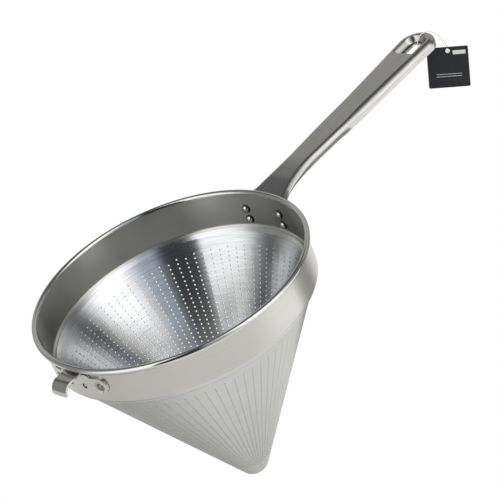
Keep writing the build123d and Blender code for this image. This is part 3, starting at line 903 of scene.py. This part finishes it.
def makeHandle(values):
    points, faces, uvs, base = [], [], [], 0
    for outer, inner, keep, uv in (channelSkins(values), plateSkins(values)):
        shellPoints, shellFaces, shellUvs = shellFromGrid(outer, inner, keep, uv)
        place = outer[2, 20]  # one cell tells which way the grid faces
        normal, outward = np.cross(outer[3, 20] - place, outer[2, 21] - place), place - inner[2, 20]
        flip = slice(None, None, 1 if normal @ outward < 0 else -1)
        points.append(shellPoints)
        for part, partUv in zip(shellFaces, shellUvs):
            faces += (part[:, flip] + base).tolist()
            uvs.append(partUv[:, flip].reshape(-1, 2))
        base += len(shellPoints)
    points, uv, finishes = np.concatenate(points), np.concatenate(uvs), [steels["satinStainlessHandle"]]
    handle = makePiece(
        "pressedHandle", points, faces, "strainer", finishes, uv, sharpAngle=values["sharp"]
    )
    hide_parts("handle")


makeHandle(handleValues)
print("handle made")


# Rest hook

hookValues = {
    "doubles": 0.002,
    "sharp": 35,  # degrees over which an edge stays sharp
    # where the foot of the strap lies on the plate: the plate's radius, and the foot's limits
    "plate": 122.85,
    "below": -9.9,
    "half": 9.9,
    "front": -123.5,
}


# The node's mesh with its doubles merged, smooth over its bends and flat on its flats. The foot of the strap
# is drawn in to the plate's cylinder, so that the two run into one another.
def makeHook(values):
    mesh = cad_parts["rest_hook"].data.copy()
    mesh.name = "restHook"
    work = bmesh.new()
    work.from_mesh(mesh)
    bmesh.ops.remove_doubles(work, verts=work.verts, dist=values["doubles"] * mm)
    work.to_mesh(mesh)
    work.free()
    points = np.empty(3 * len(mesh.vertices))
    mesh.vertices.foreach_get("co", points)
    points = points.reshape(-1, 3)
    radius = np.hypot(points[:, 0], points[:, 1])
    foot = (points[:, 2] < values["below"] * mm) & (np.abs(points[:, 1]) < values["half"] * mm)
    foot &= (points[:, 0] > values["front"] * mm) & (radius > values["plate"] * mm)
    points[foot, :2] *= (values["plate"] * mm / radius[foot])[:, None]
    mesh.vertices.foreach_set("co", points.ravel())
    mesh.update()
    mesh.materials.clear()
    mesh.materials.append(steels["satinStainlessHook"])
    mesh.polygons.foreach_set("use_smooth", [True] * len(mesh.polygons))
    mesh.polygons.foreach_set("material_index", [0] * len(mesh.polygons))
    mesh.set_sharp_from_angle(angle=math.radians(values["sharp"]))
    hook = bpy.data.objects.new("restHook", mesh)
    scene.collection.objects.link(hook)
    hook.modifiers.new("flats", "WEIGHTED_NORMAL").keep_sharp = True
    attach(hook, "strainer")
    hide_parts("rest_hook")


makeHook(hookValues)
print("hook made")


# Card tag, its plain print, the string and the knot


# Laminated black card: a soft gloss, with faint fibres that vary the gloss and the colour.
def cardMaterial():
    material, tree = newMaterial("laminatedBlackCard")
    place = addNode(tree, "ShaderNodeTexCoord").outputs["Object"]
    fibres = addNode(tree, "ShaderNodeTexNoise", {"Scale": 1 / (1.2 * mm), "Detail": 3.0}, {"Vector": place})
    grain = fibres.outputs["Fac"]
    stops = [(0.35, "#151516"), (0.65, "#1f1f21")]
    colour = addNode(tree, "ShaderNodeValToRGB", {"stops": stops}, {"Fac": grain}).outputs["Color"]
    rough = addNode(tree, "ShaderNodeMapRange", {"To Min": 0.34, "To Max": 0.48}, {"Value": grain})
    bump = addNode(tree, "ShaderNodeBump", {"Strength": 0.08, "Distance": 0.04 * mm}, {"Height": grain})
    links = {"Base Color": colour, "Roughness": rough.outputs["Result"], "Normal": bump.outputs["Normal"]}
    shader = addNode(tree, "ShaderNodeBsdfPrincipled", {"IOR": 1.5}, links)
    addNode(tree, "ShaderNodeOutputMaterial", links={"Surface": shader.outputs["BSDF"]})
    return material


# Matt white: cotton yarn with fine fuzz as sheen, or printing ink, with a little unevenness.
def whiteMaterial(name, light, dark, size, rough, sheen):
    material, tree = newMaterial(name)
    place = addNode(tree, "ShaderNodeTexCoord").outputs["Object"]
    noise = addNode(tree, "ShaderNodeTexNoise", {"Scale": 1 / (size * mm), "Detail": 4.0}, {"Vector": place})
    grain = noise.outputs["Fac"]
    stops = [(0.3, dark), (0.7, light)]
    colour = addNode(tree, "ShaderNodeValToRGB", {"stops": stops}, {"Fac": grain}).outputs["Color"]
    bump = addNode(tree, "ShaderNodeBump", {"Strength": 0.2, "Distance": 0.05 * mm}, {"Height": grain})
    settings = {"Roughness": rough, "Sheen Weight": sheen}
    links = {"Base Color": colour, "Normal": bump.outputs["Normal"]}
    shader = addNode(tree, "ShaderNodeBsdfPrincipled", settings, links)
    addNode(tree, "ShaderNodeOutputMaterial", links={"Surface": shader.outputs["BSDF"]})
    return material


blackCard = cardMaterial()
whiteInk = whiteMaterial("screenPrintedWhiteInk", "#dcdcda", "#c9c9c7", 0.5, 0.6, 0.0)
cottonYarn = whiteMaterial("twistedCottonYarn", "#fdfcf8", "#efede7", 0.25, 0.9, 0.3)


# The card's outline and the hole's rim, both as points at the same angles round the hole, joined by
# rings: a face, the edge with its eased corners, the back, and the wall of the hole.
def makeTag(values):
    half, top = values["width"] / 2, values["holeMargin"]
    bottom, corner, back = top - values["height"], values["corner"], -values["card"]
    arcs = [
        arcPoints((x - sx * corner, y - sy * corner), corner, start, start + 90, 8)
        for x, y, sx, sy, start in (
            (half, top, 1, 1, 0),
            (-half, top, -1, 1, 90),
            (-half, bottom, -1, -1, 180),
            (half, bottom, 1, -1, 270),
        )
    ]
    sides = []
    for arc, following in zip(arcs, arcs[1:] + arcs[:1]):
        between = np.linspace(0, 1, 14)[1:-1, None]
        sides += [arc, arc[-1] * (1 - between) + following[0] * between]
    outline = np.concatenate(sides)
    angle = np.arctan2(outline[:, 1], outline[:, 0])
    rim = values["holeRadius"] * np.stack([np.cos(angle), np.sin(angle)], -1)
    ease = values["ease"]
    inward = outline * (1 - ease / np.linalg.norm(outline, axis=1))[:, None]
    layers = [(rim, 0), (inward, 0), (outline, -ease), (outline, back + ease), (inward, back), (rim, back)]
    points = np.concatenate([np.concatenate([ring, np.full((len(ring), 1), z)], 1) for ring, z in layers])
    faces, _ = gridFaces(len(layers), len(outline), True, True)
    tag = makePiece("hangTag", onTag(points), faces[:, ::-1], "tag", [blackCard])
    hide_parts("hang_tag")
    return tag


# Flat films of ink on the card's face: a blank box at the top right and plain bars below, each from and to
# across, and from and to up the face.
printValues = {
    "film": 0.04,
    "boxes": [(5.0, 17.4, -3.6, 0.2), (-12.0, 12.5, -22.4, -22.0), (-12.0, 12.5, -24.6, -24.2)],
}


def makePrint(values):
    corners = np.array([(0, 2), (1, 2), (1, 3), (0, 3)])
    flat = np.array(values["boxes"])[:, corners]  # box, corner, x and y
    height = np.full(flat.shape[:2] + (1,), values["film"])
    low, high = np.concatenate([flat, -height], -1), np.concatenate([flat, height], -1)
    points = np.concatenate([low, high], 1).reshape(-1, 3)
    sides = [(0, 3, 2, 1), (4, 5, 6, 7), (0, 1, 5, 4), (1, 2, 6, 5), (2, 3, 7, 6), (3, 0, 4, 7)]
    faces = (np.arange(len(flat))[:, None, None] * 8 + np.array(sides)).reshape(-1, 4)
    makePiece("tagPrint", onTag(points), faces, "tag", [whiteInk])


# A tube round a line: at each point, a ring in the plane across the line, with its own radii.
def tubeRound(line, reference, radii, closed):
    along = np.roll(line, -1, 0) - np.roll(line, 1, 0) if closed else np.gradient(line, axis=0)
    along /= np.linalg.norm(along, axis=1)[:, None]
    side = np.cross(along, reference)
    side /= np.linalg.norm(side, axis=1)[:, None]
    up = np.cross(side, along)
    angle = np.linspace(0, 2 * np.pi, radii.shape[1], endpoint=False)[None, :, None]
    rings = line[:, None] + radii[..., None] * (np.cos(angle) * side[:, None] + np.sin(angle) * up[:, None])
    faces, _ = gridFaces(len(line), radii.shape[1], closed, True)
    points, faces = rings.reshape(-1, 3), faces[:, ::-1].tolist()
    if not closed:
        points = np.concatenate([points, line[:1], line[-1:]])
        faces += endFans(*radii.shape, -1)
    return points, faces


# Three strands laid together: the radius has three lobes, which turn once in each lay length.
def strandRadii(line, values):
    steps = np.linalg.norm(np.diff(line, axis=0), axis=1)
    distance = np.concatenate([[0], np.cumsum(steps)])[:, None]
    angle = np.linspace(0, 2 * np.pi, values["around"], endpoint=False)[None, :]
    lobes = np.abs(np.cos(1.5 * (angle - 2 * np.pi * distance / values["lay"])))
    return values["diameter"] / 2 * (0.8 + 0.2 * lobes)


def makeString(values):
    reference = np.array([0.0, 1.0, 0.0])
    points, faces = tubeRound(stringLine, reference, strandRadii(stringLine, values), False)
    string = makePiece("tagString", points, faces, "strainer", [cottonYarn], sharpAngle=80)
    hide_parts("tag_string")
    return string


# The knot in front of the hole, a string wound as a trefoil: twice round its middle while it turns three
# times in and out. The middle is its height over the card's face.
knotValues = {"middle": 1.55, "ring": 1.08, "turn": 0.6, "radius": 0.6, "steps": 160, "around": 16}


def makeKnot(values):
    t = np.linspace(0, 2 * np.pi, values["steps"], endpoint=False)
    reach = values["ring"] + values["turn"] * np.cos(3 * t)
    flat = [reach * np.cos(2 * t), reach * np.sin(2 * t), values["middle"] - values["turn"] * np.sin(3 * t)]
    line = np.stack(flat, -1)
    radii = np.full((values["steps"], values["around"]), values["radius"])
    points, faces = tubeRound(line, np.array([0.0, 0.0, 1.0]), radii, True)
    points = onTag(points)
    knot = makePiece("stringKnot", points, faces, "strainer", [cottonYarn], sharpAngle=80)
    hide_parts("string_knot")
    return knot


hangTag = makeTag(tagValues)
makePrint(printValues)
tagString = makeString(stringValues)
stringKnot = makeKnot(knotValues)
print("tag, string and knot made")


# Stage and light

stageValues = {
    "floor": -900.0,
    "radius": 1200.0,
    "colour": "#d8d7d3",
    "steps": 96,
    # what reflections see: bright below the part, and falling away behind it, from and to in metres
    "near": 1.1,
    "far": 0.55,
    "fall": (0.08, 0.55),
    "away": (-0.6, 0.8),
    "right": (0.7, 0.82, 0.3),  # painted shadow on the handle's side of the reflected table: where it fades in and where it is full, and the level left in it
}


# A round pale floor that the camera sees as plain white, and reflections as a white table that glows, with
# painted light that falls away behind the part and a painted shadow on the handle's side.
def makeFloor(values):
    angle = np.linspace(0, 2 * np.pi, values["steps"], endpoint=False)
    rim = np.stack([np.cos(angle), np.sin(angle)], -1) * values["radius"] * mm
    points = [(x, y, values["floor"] * mm) for x, y in rim.tolist()]
    mesh = bpy.data.meshes.new("floor")
    mesh.from_pydata(points, [], [tuple(range(len(points)))])
    floor = bpy.data.objects.new("floor", mesh)
    scene.collection.objects.link(floor)
    material, tree = newMaterial("paleFloor")
    place = addNode(tree, "ShaderNodeTexCoord").outputs["Object"]
    dot = {"operation": "DOT_PRODUCT", 1: (*values["away"], 0)}
    away = addNode(tree, "ShaderNodeVectorMath", dot, {0: place}).outputs["Value"]
    start, end = values["fall"]
    fall = {"From Min": start, "From Max": end, "To Min": values["near"], "To Max": values["far"]}
    level = addNode(tree, "ShaderNodeMapRange", fall, {"Value": away}).outputs["Result"]
    # painted shadow: the reflected table darkens past this x on the handle's side
    start, end, left = values["right"]
    side = addNode(tree, "ShaderNodeSeparateXYZ", links={0: place}).outputs["X"]
    edge = {"From Min": start, "From Max": end, "To Min": 1.0, "To Max": left}
    share = addNode(tree, "ShaderNodeMapRange", edge, {"Value": side}).outputs["Result"]
    level = addNode(tree, "ShaderNodeMath", {"operation": "MULTIPLY"}, {0: level, 1: share}).outputs[0]
    path = addNode(tree, "ShaderNodeLightPath").outputs
    either, glossy = {"operation": "MAXIMUM"}, path["Is Glossy Ray"]
    plain = addNode(
        tree, "ShaderNodeMath", either, {0: path["Is Camera Ray"], 1: path["Is Transmission Ray"]}
    ).outputs[0]
    seen = addNode(tree, "ShaderNodeMath", either, {0: plain, 1: glossy}).outputs[0]
    matt = addNode(tree, "ShaderNodeBsdfDiffuse", {"Color": hexColour(values["colour"])}).outputs[0]
    white = addNode(tree, "ShaderNodeEmission", {"Color": (1, 1, 1, 1), "Strength": 1.0}).outputs[0]
    table = addNode(tree, "ShaderNodeEmission", {"Color": (1, 1, 1, 1)}, {"Strength": level}).outputs[0]
    shown = addNode(tree, "ShaderNodeMixShader", links={0: glossy, 1: white, 2: table}).outputs[0]
    mix = addNode(tree, "ShaderNodeMixShader", links={0: seen, 1: matt, 2: shown}).outputs[0]
    addNode(tree, "ShaderNodeOutputMaterial", links={"Surface": mix})
    mesh.materials.append(material)


makeFloor(stageValues)

# The studio round the part. Each patch of light or wall is: from and to in azimuth, the width of its soft
# edge at each, from and to in elevation, its strength and its tint, all angles in degrees. Later patches
# cover earlier ones, and only reflections see them: the camera and matt surfaces see plain white.
worldValues = {
    "base": (0.35, "#ffffff"),
    "softEnds": 8,
    "patches": {
        "backWall": (340, 495, 20, 20, 5, 90, 0.34, "#ffffff"),
        "backLow": (350, 455, 16, 20, 12, 32, 0.55, "#ffffff"),
        "backHigh": (350, 455, 12, 16, 36, 90, 0.13, "#f0f2ff"),
        "leftSoftbox": (150, 200, 26, 5, -8, 80, 1.55, "#ffffff"),
        "darkGap": (201, 245, 4, 14, -8, 90, 0.05, "#f4f6ff"),
        "coolWall": (240, 272, 16, 20, -8, 90, 0.62, "#e6f1ff"),
        "rightSoftbox": (268, 316, 32, 28, -8, 80, 1.85, "#ffffff"),
        "sideGap": (330, 348, 12, 12, -8, 42, 0.2, "#ffffff"),
        "tableGlow": (153, 337, 40, 8, -80, -10, 0.98, "#fffffa"),
        "tableLeft": (66, 165, 14, 30, -70, -10, 0.85, "#ffffff"),
        "tableRight": (298, 337, 60, 8, -80, -10, 1.65, "#ffffff"),
        "tableGap": (338, 368, 8, 10, -80, -10, 0.42, "#ffffff"),
        "tableFar": (370, 425, 10, 30, -60, -10, 1.05, "#ffffff"),
    },
}


# Each patch is a product of smooth steps: in from its left and right edges, and in from its ends.
def makeWorld(values):
    world = bpy.data.worlds.new("studio")
    world.use_nodes = True
    tree = world.node_tree
    tree.nodes.clear()
    direction = addNode(tree, "ShaderNodeTexCoord").outputs["Generated"]
    parts = addNode(tree, "ShaderNodeSeparateXYZ", links={"Vector": direction}).outputs

    def light(level, tint):
        return [level * c for c in hexColour(tint)[:3]] + [1.0]

    angles = []
    for operation, links in (("ARCTAN2", {0: parts["Y"], 1: parts["X"]}), ("ARCSINE", {0: parts["Z"]})):
        angle = addNode(tree, "ShaderNodeMath", {"operation": operation}, links).outputs[0]
        degrees = {"operation": "MULTIPLY", 1: math.degrees(1)}
        angles.append(addNode(tree, "ShaderNodeMath", degrees, {0: angle}).outputs[0])
    azimuth, elevation = angles
    colour, soft = None, values["softEnds"] / 2
    for name, (left, right, softLeft, softRight, low, high, level, tint) in values["patches"].items():
        reach, softLeft, softRight = (right - left) / 2, softLeft / 2, softRight / 2
        middle = {"operation": "SUBTRACT", 1: (left + right) / 2}
        aside = addNode(tree, "ShaderNodeMath", middle, {0: azimuth}).outputs[0]
        wrap = {"operation": "WRAP", 1: 180.0, 2: -180.0}
        aside = addNode(tree, "ShaderNodeMath", wrap, {0: aside}).outputs[0]
        mask, product = None, {"operation": "MULTIPLY", "label": name}
        for angle, start, end in (
            (aside, -reach - softLeft, -reach + softLeft),
            (aside, reach + softRight, reach - softRight),
            (elevation, low - soft, low + soft),
            (elevation, high + soft, high - soft),
        ):
            edge = {"interpolation_type": "SMOOTHSTEP", "From Min": start, "From Max": end}
            step = addNode(tree, "ShaderNodeMapRange", edge, {"Value": angle}).outputs["Result"]
            mask = addNode(tree, "ShaderNodeMath", product, {0: mask, 1: step}).outputs[0] if mask else step
        patch = {"data_type": "RGBA", 7: light(level, tint)}
        if colour is None:
            mixer = addNode(tree, "ShaderNodeMix", {**patch, 6: light(*values["base"])}, {0: mask})
        else:
            mixer = addNode(tree, "ShaderNodeMix", patch, {0: mask, 6: colour})
        colour = mixer.outputs[2]
    glossy = addNode(tree, "ShaderNodeLightPath").outputs["Is Glossy Ray"]
    studio = addNode(tree, "ShaderNodeBackground", links={"Color": colour}).outputs[0]
    plain = addNode(tree, "ShaderNodeBackground", {"Color": (1, 1, 1, 1)}).outputs[0]
    mix = addNode(tree, "ShaderNodeMixShader", links={0: glossy, 1: plain, 2: studio}).outputs[0]
    addNode(tree, "ShaderNodeOutputWorld", links={"Surface": mix})
    scene.world = world


makeWorld(worldValues)
print("stage and light made")
